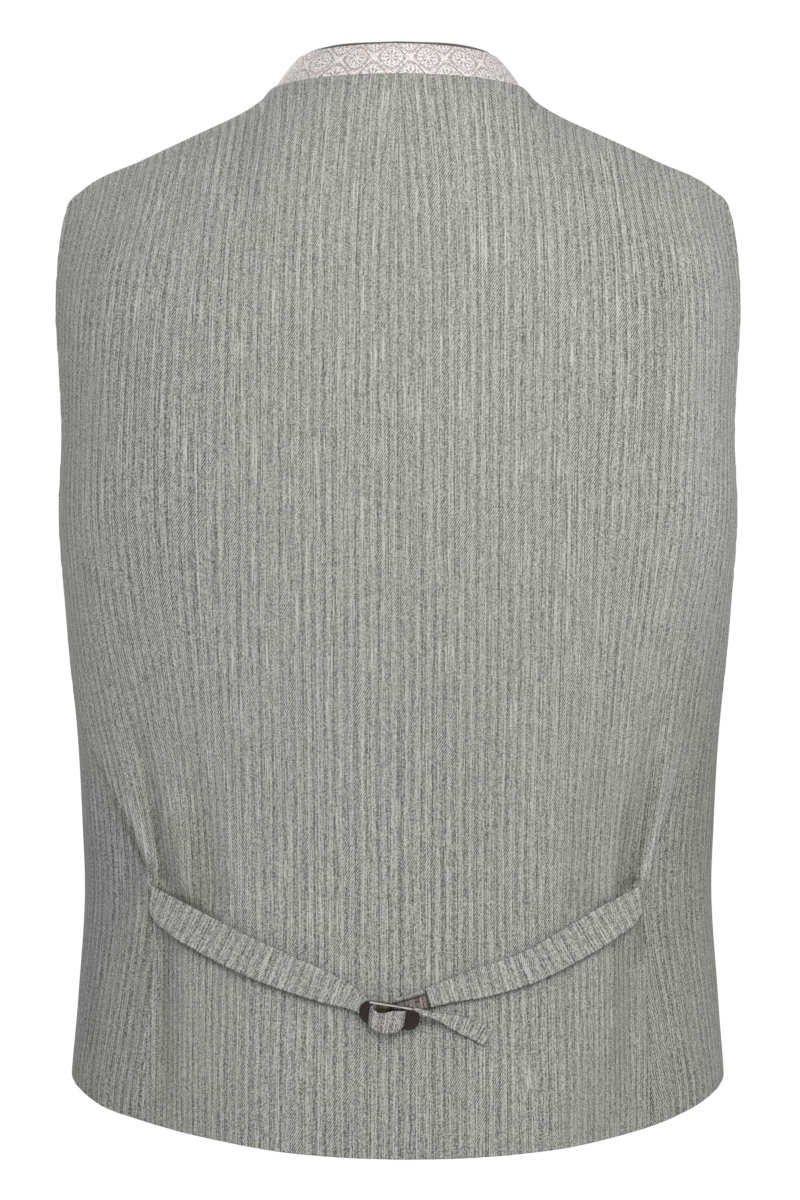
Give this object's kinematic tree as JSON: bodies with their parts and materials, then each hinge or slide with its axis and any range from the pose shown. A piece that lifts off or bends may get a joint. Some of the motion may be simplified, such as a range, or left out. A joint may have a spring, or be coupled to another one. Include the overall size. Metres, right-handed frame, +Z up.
{
  "type": "suit waistcoat",
  "caption": "Worn men's waistcoat with a stand collar, buttoned fronts, deep armholes and a cinch belt with a metal slide across the back.",
  "frame": {"origin": "middle of the neck at the height where the shoulder seams meet the collar, where the wearer's shoulders carry the garment", "axes": "+Z up, the fronts face -Y and the back faces +Y, +X is the wearer's left"},
  "size_m": [0.3864, 0.2518, 0.6072],
  "materials": {
    "striped_cloth": "streaky grey slub weave",
    "collar_jacquard": "patterned jacquard",
    "collar_lining": "satin",
    "dark_metal": "dark polished metal",
    "dark_horn": "satin horn"
  },
  "bodies": {
    "root": {"back_left": "striped_cloth", "back_right": "striped_cloth", "front_left": "striped_cloth", "front_right": "striped_cloth", "collar": "collar_jacquard", "collar_lining": "collar_lining", "belt_left": "striped_cloth", "belt_right": "striped_cloth", "belt_loop": "striped_cloth", "belt_tail": "striped_cloth", "buckle": "dark_metal", "button_1": "dark_horn", "button_2": "dark_horn", "button_3": "dark_horn", "button_4": "dark_horn", "button_5": "dark_horn", "button_6": "dark_horn", "button_7": "dark_horn"}
  },
  "joints": []
}
